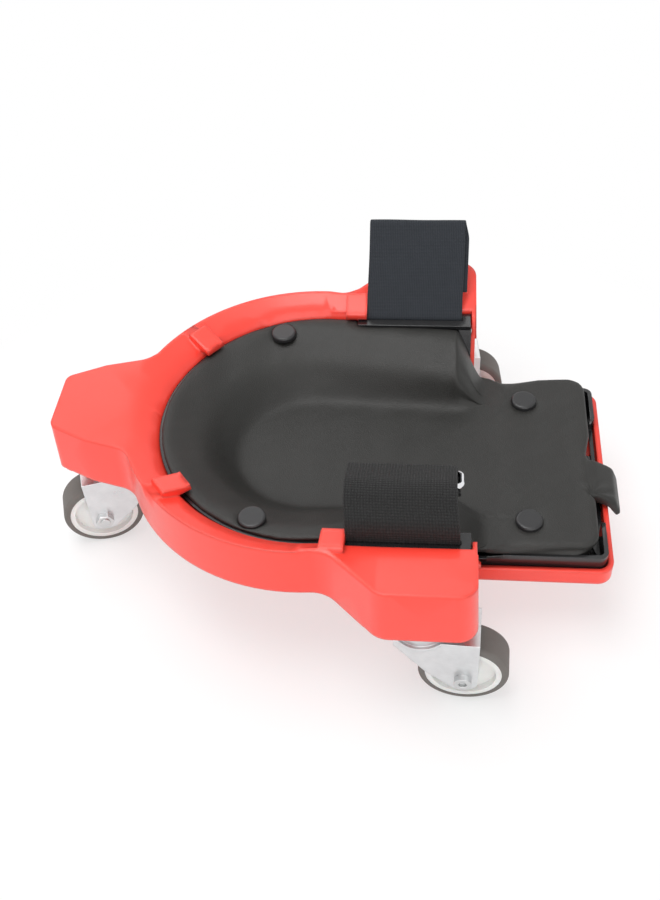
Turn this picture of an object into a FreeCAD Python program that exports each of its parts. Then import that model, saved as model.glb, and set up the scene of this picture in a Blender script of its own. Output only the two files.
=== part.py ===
import FreeCAD
import Part
import Sketcher
import math
import os
import re

# Rolling knee creeper: a moulded base on three swivel casters carries a removable tray
# with a foam knee pad and two hook-and-loop straps.  Millimetres, +X towards the shin
# tail, +Z up, the floor at z = 0, mirror plane y = 0.

Vector = FreeCAD.Vector
UP = Vector(0, 0, 1)
SIDES = {"left": -1, "right": 1}

# Driving sizes: name, value, meaning.
SIZES = [
    # moulded base
    ("deck_top", 112.5, "height of the side arms' outer edge"),
    ("ring_top", 109.8, "height of the ring's and the nose arm's outer edge"),
    ("skirt_bottom", 76.0, "lower edge of the outer skirt"),
    ("wall", 3.0, "wall of the moulding"),
    ("skirt_draft", 2.5, "draft of the skirt, degrees"),
    ("ring_centre", -12.0, "centre of the ring round the knee"),
    ("ring_radius", 105.8, "outer radius of that ring"),
    ("nose_tip", -160.0, "end of the nose arm"),
    ("nose_tip_half", 20.5, "half width of that end"),
    ("nose_cheek", -138.0, "where the nose arm reaches its cheeks"),
    ("nose_cheek_half", 31.0, "half width there"),
    ("nose_root", -104.0, "where the nose arm meets the ring"),
    ("nose_root_half", 40.0, "half width there"),
    ("nose_corner", 6.0, "corner radius of the nose"),
    ("flare_angle", 44.0, "angle of the flare into a side arm, degrees"),
    ("flare_round", 14.0, "radius between flare and arm"),
    ("flare_hollow", 18.0, "radius between ring and flare"),
    ("nose_hollow", 16.0, "radius between nose arm and ring"),
    ("arm_front", 36.0, "where a side arm reaches full width"),
    ("arm_reach", 133.4, "half width over the side arms"),
    ("arm_rear", 85.0, "rear face of the side arms"),
    ("arm_corner", 11.0, "corner radius of a side arm"),
    # well for the tray
    ("well_centre", -7.5, "centre of the well's round front"),
    ("well_mouth", 102.0, "height of the well's mouth"),
    ("well_radius", 94.7, "radius of that mouth"),
    ("crest_over", 1.2, "how far the sloping top's outline stands outside the deck"),
    ("well_narrowing", 6.0, "how much narrower each side is at the rear"),
    ("well_draft", 23.9, "slope of the well's wall, degrees"),
    ("pan_bottom", 46.0, "underside of the well and of the tail"),
    ("tail_end", 163.0, "rear end of the tail"),
    ("tail_half", 72.0, "half width of the tail"),
    ("tail_rim", 56.0, "height of the tail's rim"),
    ("tail_corner", 9.0, "corner radius of the tail"),
    ("well_rear", 89.0, "rear end of the well's side walls"),
    ("lug_radius", 2.2, "radius of the tail's locating lugs"),
    ("lug_height", 4.0, "height of those lugs"),
    # hooks moulded on the ring
    ("hook_width", 12.0, "width of a retaining hook"),
    ("hook_top", 105.8, "top of a hook"),
    ("hook_height", 3.6, "thickness of a hook"),
    ("hook_reach", 11.0, "how far a hook stands in over the tray"),
    ("front_hook_bearing", 141.0, "bearing of the front hooks, degrees"),
    ("rear_hook_place", 10.0, "place of the rear hooks along the deck"),
    # tray
    ("tray_gap", 0.8, "gap between well and tray"),
    ("tray_wall", 2.5, "wall of the tray"),
    ("tray_rim", 98.0, "rim of the tray round the knee"),
    ("tray_tail_rim", 64.0, "rim of the tray's tail"),
    ("tray_end_bar", 53.0, "top of the low bar at the tray's end"),
    ("window_inner", 21.0, "inner edge of the tray's end windows"),
    ("window_outer", 42.0, "outer edge of those windows"),
    ("flange_front", 11.0, "front end of a strap flange"),
    ("flange_rear", 82.0, "rear end of a strap flange"),
    ("flange_edge", 5.0, "outer edge of a strap flange, from the middle of its slot"),
    ("flange_top", 101.0, "top of a strap flange"),
    ("flange_thick", 3.0, "thickness of a strap flange"),
    ("slot_inset", 4.7, "middle of a strap slot, in from the well's mouth"),
    ("slot_gap", 0.3, "room round the strap in its slot"),
    # pad
    ("pad_gap", 0.4, "gap between tray and pad"),
    ("pad_rim", 100.5, "top of the pad round the knee"),
    ("pad_lip", 2.5, "how far the pad's edge laps over the tray's rim"),
    ("pad_knee_end", 84.0, "rear end of the pad's knee part"),
    ("pad_tail_top", 70.0, "top of the pad's tail"),
    ("pad_overhang", 2.5, "how far the pad's tail laps over the tray's rim"),
    ("pad_setback", 13.0, "rear end of the pad's tail, in from the tail's end"),
    ("pad_corner", 10.0, "corner radius of the pad's tail"),
    ("rim_band", 12.0, "width of the pad's rim band, in from the well's mouth"),
    ("dish_crease", 89.0, "height where the rim band turns down"),
    ("dish_radius", 62.0, "radius of the dish at that crease"),
    ("dish_centre", -12.0, "centre of the dish's round front"),
    ("dish_floor_radius", 44.0, "radius of the dish's floor"),
    ("dish_rear_half", 46.0, "half width of the dish at its open rear"),
    ("tongue_half", 19.0, "half width of the tongue"),
    ("tongue_aside", 7.0, "how far the tongue sits to the left"),
    ("tongue_reach", 8.5, "tip of the tongue, out from the tail's end"),
    ("tongue_droop", 5.0, "how far that tip hangs below the tail's rim"),
    ("tongue_thick", 6.0, "thickness of the tongue"),
    # push-in buttons that hold the pad
    ("plug_head", 15.6, "diameter of a button's head"),
    ("plug_head_thick", 3.2, "thickness of a button's head"),
    ("plug_stem", 5.0, "diameter of a button's stem"),
    ("plug_stem_length", 13.0, "length of a button's stem"),
    ("front_plug_inset", 13.8, "front buttons, in from the well's mouth"),
    ("front_plug_bearing", 110.2, "bearing of the front buttons, degrees"),
    ("front_plug_seat", 97.5, "height of the front buttons' seats"),
    ("rear_plug_sink", 0.6, "how deep the rear buttons' heads press into the pad"),
    ("rear_plug_setback", 34.3, "rear buttons, in from the pad's end"),
    ("rear_plug_inset", 23.8, "rear buttons, in from the tail's side"),
    # straps
    ("strap_width", 60.0, "width of a strap"),
    ("strap_thick", 2.2, "thickness of a strap"),
    ("strap_front", 16.5, "front edge of a strap"),
    ("ring_wire", 3.2, "diameter of the strap ring's wire"),
    ("ring_length", 57.0, "length of the strap ring"),
    ("ring_depth", 20.0, "depth of the strap ring"),
    ("ring_bend", 4.0, "bend radius of the strap ring"),
    ("fold_run", 43.5, "ring bar in the left strap's fold, in from the slot"),
    ("fold_height", 107.2, "height of that bar"),
    ("fold_slope", 22.0, "slope of the left strap beside its fold, degrees"),
    ("fold_length", 21.0, "length of the left strap's folded layer"),
    ("strap_rise", 111.0, "height where the left strap turns inwards"),
    ("strap_root_bend", 7.0, "bend of the left strap above its flange"),
    ("strap_crest_bend", 20.0, "bend of the left strap's crest"),
    ("strap_lean_bend", 4.0, "bend of the right strap at its flange"),
    ("strap_lean", 46.0, "lean of the right strap, degrees"),
    ("strap_stand", 61.0, "length of the right strap above its slot"),
    ("strap_back", 44.0, "length of the right strap's folded layer"),
    ("hem_drop", 7.5, "how far a strap hangs below its flange's top"),
    ("hem_thick", 4.6, "thickness of the hem that holds it there"),
    # casters
    ("mount_face", 70.0, "height of the faces that carry the casters"),
    ("nose_axis", -126.0, "swivel axis of the nose caster"),
    ("side_axis", 57.0, "swivel axes of the side casters, along"),
    ("side_axis_inset", 22.4, "swivel axes of the side casters, in from the side arms' reach"),
    ("nose_swivel", 198.0, "heading of the nose caster, degrees"),
    ("left_swivel", -2.5, "heading of the left caster, degrees"),
    ("right_swivel", 6.0, "heading of the right caster, degrees"),
    ("plate_length", 46.0, "caster plate, along"),
    ("plate_width", 32.0, "caster plate, across"),
    ("plate_thick", 2.4, "thickness of the caster plate"),
    ("bolt_along", 36.0, "spacing of the plate's holes, along"),
    ("bolt_across", 22.0, "spacing of the plate's holes, across"),
    ("screw_radius", 2.2, "radius of a plate screw"),
    ("screw_head", 3.8, "radius of a plate screw's head"),
    ("screw_head_thick", 2.2, "thickness of that head"),
    ("screw_length", 14.0, "length of a plate screw in its post"),
    ("post_radius", 5.0, "radius of a screw post under the deck"),
    ("ball_radius", 2.4, "radius of a bearing ball"),
    ("ball_circle", 10.5, "pitch radius of the balls"),
    ("race_play", 0.08, "play between balls and races"),
    ("pin_radius", 4.0, "radius of the swivel pin"),
    ("running_gap", 0.06, "radial running gap of pins and bores"),
    ("crown_radius", 17.0, "radius of the fork's crown"),
    ("sheet_thick", 2.2, "sheet of the fork"),
    ("trail", 24.0, "axle behind the swivel axis"),
    ("wheel_radius", 25.0, "radius of a wheel"),
    ("wheel_width", 18.6, "width of a tyre"),
    ("side_play", 1.2, "room between wheel and fork on each side"),
    ("tread_thick", 3.9, "thickness of the tyre"),
    ("tyre_round", 2.4, "shoulder radius of the tyre"),
    ("axle_radius", 3.0, "radius of the axle bolt"),
    ("sleeve_radius", 4.5, "outer radius of the axle sleeve"),
    ("axle_head", 4.9, "radius of the axle bolt's head"),
    ("axle_head_thick", 3.4, "thickness of that head"),
    ("leg_foot", 9.3, "depth of a fork leg below the axle"),
    ("leg_rear", 8.0, "rear edge of a fork leg, behind the axle"),
    ("leg_front", 14.0, "reach of a fork leg ahead of the swivel axis"),
    ("leg_waist", 3.5, "where a fork leg's front edge bends, behind the swivel axis"),
    ("leg_waist_height", 30.0, "height of that bend"),
    ("leg_toe", 19.0, "front end of a fork leg's foot, behind the swivel axis"),
    ("leg_corner", 5.5, "corner radius of a fork leg's foot"),
    ("axle_stub", 0.6, "how far the axle bolt stands out of its nut"),
    ("hub_boss", 3.5, "wall of the hub's boss"),
    ("hub_rim", 3.0, "thickness of the hub's rim"),
    ("hub_recess", 0.3, "how far the hub's rim stands inside the tyre's face"),
]

NAMES = {alias for alias, _, _ in SIZES}

doc = FreeCAD.newDocument("KneeCreeper")
sheet = doc.addObject("Spreadsheet::Sheet", "Sizes")
for row, (alias, value, meaning) in enumerate(SIZES, start=1):
    sheet.set(f"A{row}", meaning)
    sheet.set(f"B{row}", str(value))
    sheet.setAlias(f"B{row}", alias)
doc.recompute()


def size(alias):
    """The number behind an alias of the sheet."""
    return float(sheet.get(alias))


def cell(formula):
    """A formula over size names as an expression over the sheet."""
    return re.sub("[a-z][a-z_]*", lambda word: f"Sizes.{word[0]}" if word[0] in NAMES else word[0], formula)


def number(formula):
    """The present value of a formula over size names."""
    return float(sheet.evalExpression(cell(formula)))


def bind(item, **formulas):
    """Drive an object's properties; a double underscore stands for a dot."""
    for name, formula in formulas.items():
        item.setExpression(name.replace("__", "."), cell(formula))
    return item


def place(item, along="0", across="0", height="0", heading=None):
    """Drive an object's position and, if given, its heading about Z."""
    if heading is not None:
        item.Placement = FreeCAD.Placement(Vector(), UP, 10)
        bind(item, Placement__Rotation__Angle=heading)
    return bind(item, Placement__Base__x=along, Placement__Base__y=across, Placement__Base__z=height)


def block(name, x, y, z):
    """A box between pairs of formulas."""
    box = doc.addObject("Part::Box", name)
    bind(box, Length=f"({x[1]}) - ({x[0]})", Width=f"({y[1]}) - ({y[0]})", Height=f"({z[1]}) - ({z[0]})")
    return place(box, x[0], y[0], z[0])


def rod(name, radius, bottom, top, along="0", across="0"):
    """An upright cylinder."""
    cylinder = doc.addObject("Part::Cylinder", name)
    bind(cylinder, Radius=radius, Height=f"({top}) - ({bottom})")
    return place(cylinder, along, across, bottom)


def cross_rod(name, radius, low, high, along="0", height="0"):
    """A cylinder lying along Y from one formula to another."""
    cylinder = doc.addObject("Part::Cylinder", name)
    bind(cylinder, Radius=radius, Height=f"({high}) - ({low})")
    cylinder.Placement = FreeCAD.Placement(Vector(), Vector(1, 0, 0), -90)
    return place(cylinder, along, low, height)


def fuse(name, pieces):
    joined = doc.addObject("Part::MultiFuse", name)
    joined.Shapes = pieces
    return joined


def common(name, pieces):
    shared = doc.addObject("Part::MultiCommon", name)
    shared.Shapes = pieces
    return shared


def cut(name, base, tool):
    rest = doc.addObject("Part::Cut", name)
    rest.Base = base
    rest.Tool = tool
    return rest


def origin_plane(body, role):
    return next(item for item in body.Origin.OriginFeatures if item.Role == role)


def new_sketch(body, name, role="XY_Plane", lift="0"):
    sketch = body.newObject("Sketcher::SketchObject", name)
    sketch.AttachmentSupport = [(origin_plane(body, role), "")]
    sketch.MapMode = "FlatFace"
    return bind(sketch, AttachmentOffset__Base__z=lift)


def pin_point(sketch, item, point, x, y):
    """Dimension one point of a sketch from its origin."""
    for kind, formula in (("DistanceX", x), ("DistanceY", y)):
        index = sketch.addConstraint(Sketcher.Constraint(kind, -1, 1, item, point, number(formula)))
        sketch.setExpression(f"Constraints[{index}]", cell(formula))


def draw_outline(sketch, corners):
    """A closed straight-sided outline; each corner is a pair of formulas."""
    places = [Vector(number(x), number(y), 0) for x, y in corners]
    count = len(corners)
    for index, here in enumerate(places):
        sketch.addGeometry(Part.LineSegment(here, places[(index + 1) % count]), False)
    for index, (x, y) in enumerate(corners):
        sketch.addConstraint(Sketcher.Constraint("Coincident", index, 1, (index - 1) % count, 2))
        pin_point(sketch, index, 1, x, y)
    return sketch


def draw_circle(sketch, radius, x="0", y="0"):
    centre = Vector(number(x), number(y), 0)
    item = sketch.addGeometry(Part.Circle(centre, UP, number(radius)), False)
    index = sketch.addConstraint(Sketcher.Constraint("Radius", item, number(radius)))
    sketch.setExpression(f"Constraints[{index}]", cell(radius))
    pin_point(sketch, item, 3, x, y)
    return sketch


def draw_round_front(sketch, centre, radius, rear, rear_half):
    """A half circle to the front of `centre`, closed by two sides and a straight rear edge."""
    middle, reach = number(centre), number(radius)
    end, half = number(rear), number(rear_half)
    arc = Part.ArcOfCircle(Part.Circle(Vector(middle, 0, 0), UP, reach), math.pi / 2, 3 * math.pi / 2)
    corners = [Vector(middle, -reach, 0), Vector(end, -half, 0), Vector(end, half, 0), Vector(middle, reach, 0)]
    sketch.addGeometry(arc, False)
    for start, stop in zip(corners, corners[1:]):
        sketch.addGeometry(Part.LineSegment(start, stop), False)
    for index in range(4):
        sketch.addConstraint(Sketcher.Constraint("Coincident", index, 2, (index + 1) % 4, 1))
    pin_point(sketch, 1, 1, centre, f"-({radius})")
    pin_point(sketch, 2, 1, rear, f"-({rear_half})")
    pin_point(sketch, 3, 1, rear, rear_half)
    pin_point(sketch, 3, 2, centre, radius)
    index = sketch.addConstraint(Sketcher.Constraint("DistanceX", -1, 1, 0, 3, middle))
    sketch.setExpression(f"Constraints[{index}]", cell(centre))
    return sketch


def pad_down(body, name, sketch, length, taper="0"):
    """Pad a sketch downwards, growing by the taper."""
    pad = body.newObject("PartDesign::Pad", name)
    pad.Profile = sketch
    pad.Reversed = True
    bind(pad, Length=length, TaperAngle=taper)
    doc.recompute()
    return pad


def edges_where(shape, wanted):
    return [f"Edge{index}" for index, edge in enumerate(shape.Edges, start=1) if wanted(edge)]


def round_edges(body, name, base, radius, wanted):
    fillet = body.newObject("PartDesign::Fillet", name)
    fillet.Base = (base, edges_where(base.Shape, wanted))
    bind(fillet, Radius=radius)
    doc.recompute()
    return fillet


def steep(edge):
    """True for the upright corner edges of a drafted block."""
    first, last = edge.Vertexes[0].Point, edge.Vertexes[-1].Point
    return len(edge.Vertexes) == 2 and abs(first.z - last.z) > size("wall")


def level_at(edge, height, slack=0.01):
    box = edge.BoundBox
    return abs(box.ZMin - height) < slack and abs(box.ZMax - height) < slack


# Places that follow from the sizes.
SLOT_PLACE = "(well_radius - slot_inset)"
FLANGE_REACH = f"({SLOT_PLACE} + flange_edge)"
PAD_END = "(tail_end - pad_setback)"
PLUG_CIRCLE = "(well_radius - front_plug_inset)"
PLUGS = {
    "front": (f"(well_centre + {PLUG_CIRCLE} * cos(front_plug_bearing * 1 deg))",
              f"({PLUG_CIRCLE} * sin(front_plug_bearing * 1 deg))", "front_plug_seat"),
    "rear": (f"({PAD_END} - rear_plug_setback)", "(tail_half - rear_plug_inset)",
             "(pad_tail_top - rear_plug_sink)"),
}


# ---- moulded base ----

def ends_near(edge, along, across):
    """True if an edge has an end near a corner, on either side of the middle plane."""
    x, y = number(along), number(across)
    return any(math.hypot(end.X - x, abs(end.Y) - y) < 1 for end in edge.Vertexes)


def leaves_ring(edge, radius, ahead):
    """True if an edge lies where the nose (ahead -1) or an arm (ahead 1) leaves the ring."""
    middle, reach = number("ring_centre"), number(radius)
    return any(abs(math.hypot(end.X - middle, end.Y) - reach) < 0.2 and abs(end.Y) > size("wall")
               and (end.X - middle) * ahead > 0 and end.X < size("arm_front") for end in edge.Vertexes)


def deck_block(name, inset, drop):
    """The deck's drafted block, moved inwards by an inset, with rounded upright corners."""
    body = doc.addObject("PartDesign::Body", name)
    nose_half = [(f"nose_tip + {inset}", f"nose_tip_half - {inset} * 0.6"),
                 ("nose_cheek", f"nose_cheek_half - {inset} * 1.1"),
                 ("nose_root", f"nose_root_half - {inset} * 1.1"),
                 ("ring_centre", f"nose_root_half - {inset} * 1.1")]
    flare_foot = "ring_radius * 0.9"
    flare_run = f"(arm_reach - {inset} - {flare_foot}) / tan(flare_angle * 1 deg)"
    arm_half = [(f"arm_front + {inset} / 3 - {flare_run}", flare_foot),
                (f"arm_front + {inset} / 3", f"arm_reach - {inset}"),
                (f"arm_rear - {inset}", f"arm_reach - {inset}")]
    lift = f"deck_top + wall - {inset}"
    for part, half in (("Nose", nose_half), ("Arms", arm_half)):
        corners = half + [(x, f"-({y})") for x, y in reversed(half)]
        pad_down(body, name + part, draw_outline(new_sketch(body, name + part + "Outline", lift=lift), corners),
                 drop, "skirt_draft")
    outline = new_sketch(body, name + "RingOutline", lift=lift)
    reach = f"ring_radius - {inset}"
    solid = pad_down(body, name + "Ring", draw_circle(outline, reach, "ring_centre"), drop, "skirt_draft")
    for radius, corner in (("nose_corner", nose_half[0]), ("arm_corner", arm_half[2]), ("flare_round", arm_half[1])):
        solid = round_edges(body, f"{name}_{radius}", solid, f"{radius} - {inset}",
                            lambda edge: steep(edge) and ends_near(edge, *corner))
    for radius, ahead in (("nose_hollow", -1), ("flare_hollow", 1)):
        solid = round_edges(body, f"{name}_{radius}", solid, f"{radius} + {inset}",
                            lambda edge: steep(edge) and leaves_ring(edge, reach, ahead))
    return body, solid


def round_front_loft(name, sections):
    """A ruled body through round-fronted outlines: (height, centre, radius, rear end, rear half width)."""
    body = doc.addObject("PartDesign::Body", name)
    sketches = [draw_round_front(new_sketch(body, f"{name}Section{index}", lift=height), *outline)
                for index, (height, *outline) in enumerate(sections)]
    return ruled(body, name, sketches)


def ruled(body, name, sketches):
    """A ruled loft through sketches of one body."""
    doc.recompute()
    loft = body.newObject("PartDesign::AdditiveLoft", name + "Loft")
    loft.Profile = sketches[0]
    loft.Sections = sketches[1:]
    loft.Ruled = True
    doc.recompute()
    return body


def well_at(height, out="0"):
    """Radius of the well at a height, moved outwards square to its wall."""
    return (f"(well_radius - (well_mouth - ({height})) * tan(well_draft * 1 deg)"
            f" + ({out}) / cos(well_draft * 1 deg))")


def well_sections(heights, out, rear):
    """Round-fronted sections that follow the well's wall."""
    return [(height, "well_centre", well_at(height, out), rear, f"{well_at(height, out)} - well_narrowing")
            for height in heights]


def rounded_slab(name, x, half, z, corner):
    """A slab across the middle plane whose two rear corners are rounded."""
    body = doc.addObject("PartDesign::Body", name)
    corners = [(x[0], f"-({half})"), (x[1], f"-({half})"), (x[1], half), (x[0], half)]
    sketch = draw_outline(new_sketch(body, name + "Outline", lift=z[1]), corners)
    slab = pad_down(body, name + "Pad", sketch, f"({z[1]}) - ({z[0]})")
    rear = number(x[1])
    round_edges(body, name + "Corners", slab, corner,
                lambda edge: edge.BoundBox.ZLength > 1 and edge.BoundBox.XMin > rear - 0.01)
    return body


def caster_ribs(name, along, across):
    """Screw posts and crossed ribs that come down from the deck to a caster's plate."""
    low, high = "mount_face", "deck_top - wall"
    pieces = [block(name + "Spine", (f"{along} - plate_length * 0.6", f"{along} + plate_length * 0.6"),
                    (f"{across} - wall / 2", f"{across} + wall / 2"), (low, high))]
    for end, sign in (("Fore", "-"), ("Aft", "+")):
        middle = f"{along} {sign} bolt_along / 2"
        pieces.append(block(name + end + "Rib", (f"{middle} - wall / 2", f"{middle} + wall / 2"),
                            (f"{across} - plate_length", f"{across} + plate_length"), (low, high)))
        for side, across_sign in (("Near", "-"), ("Far", "+")):
            pieces.append(rod(f"{name}{end}{side}Post", "post_radius", low, high,
                              middle, f"{across} {across_sign} bolt_across / 2"))
    return pieces


def screw_places(along="0", across="0"):
    return [(f"{along} {a} bolt_along / 2", f"{across} {b} bolt_across / 2") for a in "-+" for b in "-+"]


def hook(name, along, heading):
    """A moulded tab that reaches in over the tray, with a notched tip."""
    outer = "well_radius + hook_top - well_mouth + wall"
    inner = f"{well_at('tray_rim')} - hook_reach"
    tab = block(name + "Tab", (inner, outer), ("-hook_width / 2", "hook_width / 2"),
                ("hook_top - hook_height", "hook_top"))
    notch = rod(name + "Notch", "hook_width / 5", "hook_top - hook_height - 1", "hook_top + 1", inner)
    return place(cut(name, tab, notch), along, "0", "0", heading)


def mouth_half(along):
    """Half width of the well's mouth at a place behind its round front."""
    return f"(well_radius - well_narrowing * ({along} - well_centre) / (well_rear + 4 * wall - well_centre))"


def above_arm(name, side, drop):
    """Everything over one arm's top, which is ruled from the well's mouth up to the outer edge."""
    body = doc.addObject("PartDesign::Body", name)
    flare_start = "arm_front - (arm_reach - ring_radius) / tan(flare_angle * 1 deg)"
    stations = [("well_centre", "ring_radius + crest_over", "ring_top"),
                (flare_start, "ring_radius + 2.5 * crest_over", "ring_top"),
                ("arm_front", "arm_reach + crest_over", "deck_top"),
                ("well_rear", "arm_reach + crest_over", "deck_top")]
    sketches = []
    for index, (along, reach, top) in enumerate(stations):
        inner = mouth_half(along)
        outline = [(inner, f"well_mouth - {drop}"), (reach, f"{top} - {drop}"),
                   ("arm_reach * 1.1", f"{top} - {drop}"), ("arm_reach * 1.1", "deck_top * 1.1"),
                   (inner, "deck_top * 1.1")]
        sketches.append(draw_outline(new_sketch(body, f"{name}Station{index}", "YZ_Plane", lift=along),
                                     [(f"{side} * {across}", height) for across, height in outline]))
    return ruled(body, name, sketches)


def above_deck(name, drop="0"):
    """Everything over the deck's top: the sloping lip round the well, the level nose and the arms."""
    rear, crest = "well_centre + crest_over", "ring_radius + crest_over"
    lip = round_front_loft(name + "Lip", [
        (f"well_mouth - {drop}", "well_centre", "well_radius", rear, "well_radius"),
        (f"ring_top - {drop}", "ring_centre", crest, rear, crest)])
    middle = round_front_loft(name + "Middle", well_sections([f"well_mouth - {drop}", "deck_top * 1.1"], "0",
                                                             "well_rear + 4 * wall"))
    level = block(name + "Level", ("nose_tip * 1.1", rear), ("-arm_reach", "arm_reach"),
                  (f"ring_top - {drop}", "deck_top * 1.1"))
    arms = [above_arm(name + side, sign, drop) for side, sign in SIDES.items()]
    return fuse(name, [lip, middle, level] + arms)


def deck_shell():
    """The drafted deck, hollow from below, under its dished top."""
    blank, _ = deck_block("DeckBlank", "0", "deck_top + wall - skirt_bottom")
    deck = cut("Deck", blank, above_deck("AboveDeck"))
    inside, _ = deck_block("DeckInside", "wall", "deck_top + wall - skirt_bottom")
    return deck, cut("Skirt", deck, cut("Cavity", inside, above_deck("AboveRoof", "(wall * 1.2)")))


def base_shell():
    deck, skirt = deck_shell()
    casters = [("NoseRibs", "nose_axis", "0"), ("LeftRibs", "side_axis", "-(arm_reach - side_axis_inset)"),
               ("RightRibs", "side_axis", "(arm_reach - side_axis_inset)")]
    ribs = fuse("CasterRibs", [piece for spot in casters for piece in caster_ribs(*spot)])
    allowed, _ = deck_block("RibRoom", "(wall / 2)", "deck_top + wall - mount_face")
    trimmed_ribs = common("TrimmedRibs", [ribs, allowed])
    floor = "pan_bottom + wall"
    well = round_front_loft("WellOutside",
                            well_sections(["pan_bottom", "well_mouth - wall / 2"], "wall", "well_rear"))
    tail = rounded_slab("Tail", ("arm_rear", "tail_end"), "tail_half", ("pan_bottom", "tail_rim"), "tail_corner")
    solid = fuse("BaseSolid", [skirt, trimmed_ribs, well, tail])
    hollows = [round_front_loft("WellInside",
                                well_sections([floor, "well_mouth"], "0", "well_rear + 4 * wall")),
               above_deck("Mouth"),
               rounded_slab("TailInside", ("arm_rear + wall", "tail_end - wall"), "tail_half - wall",
                            (floor, "tail_rim + 1"), "tail_corner - wall")]
    for side, sign in SIDES.items():
        span = [f"{sign} * ({SLOT_PLACE} - 3 * hem_thick)", f"{sign} * ({FLANGE_REACH} + tray_gap)"]
        hollows.append(block(f"FlangeNotch_{side}", ("flange_front - tray_gap", "flange_rear + tray_gap"),
                             span[::sign], ("flange_top - hem_drop - 2 * tray_gap", "deck_top + 1")))
    for name, along, across in casters:
        hollows += [rod(f"{name}Pilot", "screw_radius", "mount_face - 1", "mount_face + screw_length", x, y)
                    for x, y in screw_places(along, across)]
    opened = cut("OpenBase", solid, fuse("BaseHollows", hollows))
    tabs = [hook("FrontHookRight", "well_centre", "front_hook_bearing"),
            hook("FrontHookLeft", "well_centre", "-front_hook_bearing"),
            hook("RearHookRight", "rear_hook_place", "90"),
            hook("RearHookLeft", "rear_hook_place", "-90")]
    middle = "(window_inner + window_outer) / 2"
    lugs = [rod(f"Lug_{side}", "lug_radius", f"{floor} - 1", f"{floor} + lug_height",
                LUG_PLACE, f"{sign} * {middle}") for side, sign in SIDES.items()]
    return fuse("base_shell", [opened] + tabs + lugs)


# ---- tray, pad and buttons ----

TRAY_END = "(tail_end - wall - tray_gap)"
TRAY_HALF = "(tail_half - wall - tray_gap)"
TRAY_FLOOR = "(pan_bottom + wall + tray_wall)"
WINDOW = (f"{PAD_END} + pad_gap", f"{TRAY_END} - tray_wall")
LUG_PLACE = f"({WINDOW[0]} + {WINDOW[1]}) / 2"


def stem_holes(name, radius, bottom, top):
    """A hole at each of the four buttons."""
    return [rod(f"{name}_{end}_{side}", radius, bottom, top, along, f"{sign} * {across}")
            for end, (along, across, _) in PLUGS.items() for side, sign in SIDES.items()]


def knee_tray():
    floor = "pan_bottom + wall"
    outside = round_front_loft("TrayOutside",
                               well_sections([floor, "tray_rim"], "-tray_gap", "well_rear + wall"))
    tail = rounded_slab("TrayTail", ("arm_rear + wall + tray_gap", TRAY_END), TRAY_HALF,
                        (floor, "tray_tail_rim"), "tail_corner - wall - tray_gap")
    flanges = []
    slots = []
    for side, sign in SIDES.items():
        span = [f"{sign} * ({SLOT_PLACE} - hem_thick - tray_wall)", f"{sign} * {FLANGE_REACH}"]
        flanges.append(block(f"Flange_{side}", ("flange_front", "flange_rear"), span[::sign],
                             ("flange_top - flange_thick", "flange_top")))
        half = "(strap_thick / 2 + slot_gap)"
        slots.append(block(f"Slot_{side}", ("strap_front - slot_gap", "strap_front + strap_width + slot_gap"),
                           (f"{sign} * {SLOT_PLACE} - {half}", f"{sign} * {SLOT_PLACE} + {half}"),
                           ("flange_top - hem_drop - tray_gap", "flange_top + 1")))
        span = (f"{sign} * {SLOT_PLACE} - hem_thick / 2 - slot_gap",
                f"{sign} * {SLOT_PLACE} + hem_thick / 2 + slot_gap")
        slots.append(block(f"HemRoom_{side}", ("strap_front - slot_gap", "strap_front + strap_width + slot_gap"),
                           span, ("flange_top - hem_drop - tray_gap", "flange_top - flange_thick")))
        span = [f"{sign} * window_inner", f"{sign} * window_outer"]
        slots.append(block(f"Window_{side}", WINDOW, span[::sign], (f"{floor} - 1", f"{TRAY_FLOOR} + 1")))
    solid = fuse("TraySolid", [outside, tail] + flanges)
    inside = round_front_loft("TrayInside",
                              well_sections([TRAY_FLOOR, "tray_rim + 0.1"], "-(tray_gap + tray_wall)",
                                            "well_rear + 4 * wall"))
    tail_inside = rounded_slab("TrayTailInside", ("arm_rear + wall + tray_gap + tray_wall", WINDOW[1]),
                               f"{TRAY_HALF} - tray_wall", (TRAY_FLOOR, "tray_tail_rim + 1"),
                               "tail_corner - wall - tray_gap - tray_wall")
    low_end = block("LowEnd", (f"{TRAY_END} - 2 * tray_wall", f"{TRAY_END} + 1"),
                    ("-window_outer", "window_outer"), ("tray_end_bar", "tray_tail_rim + 1"))
    return cut("knee_tray", solid, fuse("TrayHollows", [inside, tail_inside, low_end] + slots))


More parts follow.
